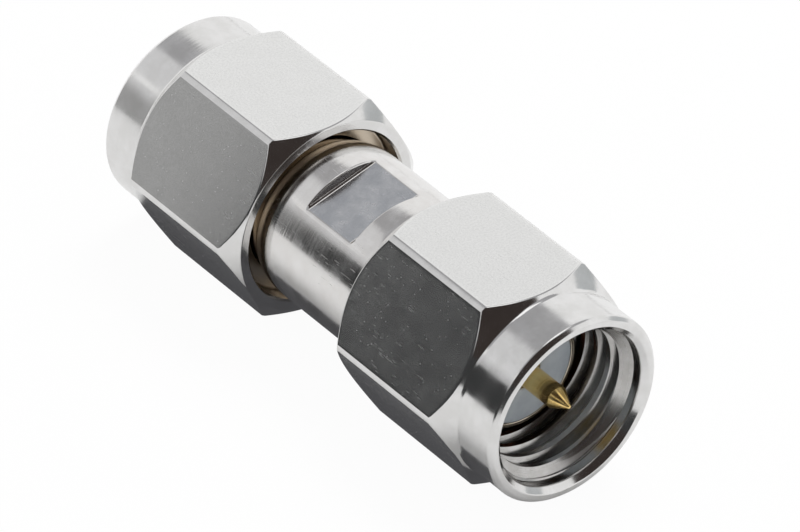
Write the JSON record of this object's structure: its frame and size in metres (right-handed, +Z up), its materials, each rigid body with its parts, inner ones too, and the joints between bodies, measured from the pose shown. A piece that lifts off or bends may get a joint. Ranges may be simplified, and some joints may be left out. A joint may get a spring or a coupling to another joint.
{
  "type": "coaxial plug-to-plug adapter",
  "caption": "Straight coaxial adapter with a contact pin and a free-turning hexagonal coupling nut at each end, joined by a barrel with milled wrench flats.",
  "frame": {"origin": "middle of the body, on the connector's axis, which is the middle of the bounding box", "axes": "+X along the connector's axis towards the right nut's mouth, +Z up from the flats that it lies on, +Y across"},
  "size_m": [0.0226, 0.009, 0.008],
  "materials": {
    "nut_steel": "passivated, satin flats and polished turned faces",
    "body_nickel": "bright nickel-toned turned barrel with satin milled flats",
    "contact_gold": "gilt, polished",
    "dielectric_white": "waxy white fluoropolymer",
    "gasket_rubber": "soft silicone",
    "ring_bronze": "spring bronze"
  },
  "bodies": {
    "body": {"body": "body_nickel", "center_contact": "contact_gold", "right_dielectric": "dielectric_white", "left_dielectric": "dielectric_white", "right_gasket": "gasket_rubber", "left_gasket": "gasket_rubber"},
    "right_nut": {"right_coupling_nut": "nut_steel", "right_snap_ring": "ring_bronze"},
    "left_nut": {"left_coupling_nut": "nut_steel", "left_snap_ring": "ring_bronze"}
  },
  "joints": [
    {"name": "right_nut_spin", "type": "hinge", "parent": "body", "child": "right_nut", "pos_m": [0.005, 0, 0], "axis": [1, 0, 0], "continuous": true},
    {"name": "left_nut_spin", "type": "hinge", "parent": "body", "child": "left_nut", "pos_m": [-0.005, 0, 0], "axis": [-1, 0, 0], "continuous": true}
  ]
}
